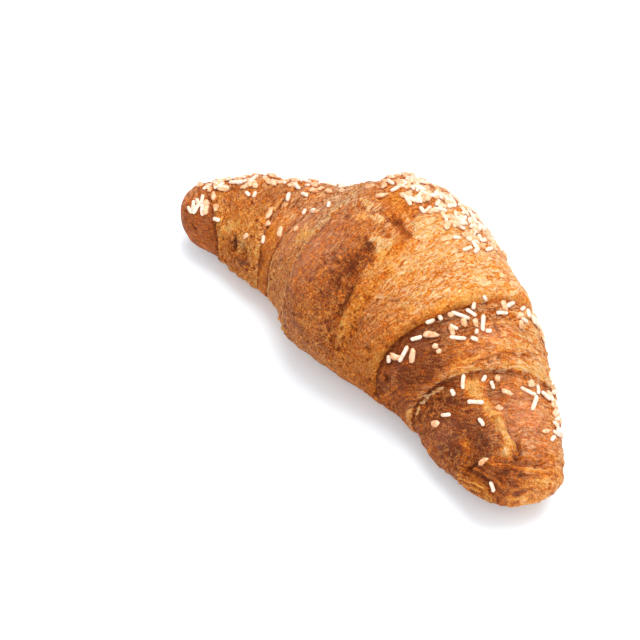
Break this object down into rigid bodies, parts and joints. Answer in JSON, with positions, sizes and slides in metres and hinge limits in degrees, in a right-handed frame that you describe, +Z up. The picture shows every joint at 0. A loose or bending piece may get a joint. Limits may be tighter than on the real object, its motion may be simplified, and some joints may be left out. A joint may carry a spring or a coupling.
{
  "type": "custard-filled croissant",
  "caption": "Baked crescent roll of wrapped laminated dough, thick in the middle, with a slender tip, a blunt tip and a flat underside, scattered with sugar.",
  "frame": {"origin": "under the middle of the croissant's bounding box, on the surface that it rests on", "axes": "+X along the croissant towards its blunt tip, +Y towards the outer side of its bow, +Z up"},
  "size_m": [0.1712, 0.0726, 0.0518],
  "materials": {
    "crust": "golden brown egg-washed crust, satin, darker on the shoulders of the wraps",
    "pearl_sugar": "white pressed sugar, slightly glossy",
    "toasted_sugar": "sugar grains toasted amber in the oven"
  },
  "bodies": {
    "root": {"croissant": "crust"}
  },
  "joints": []
}
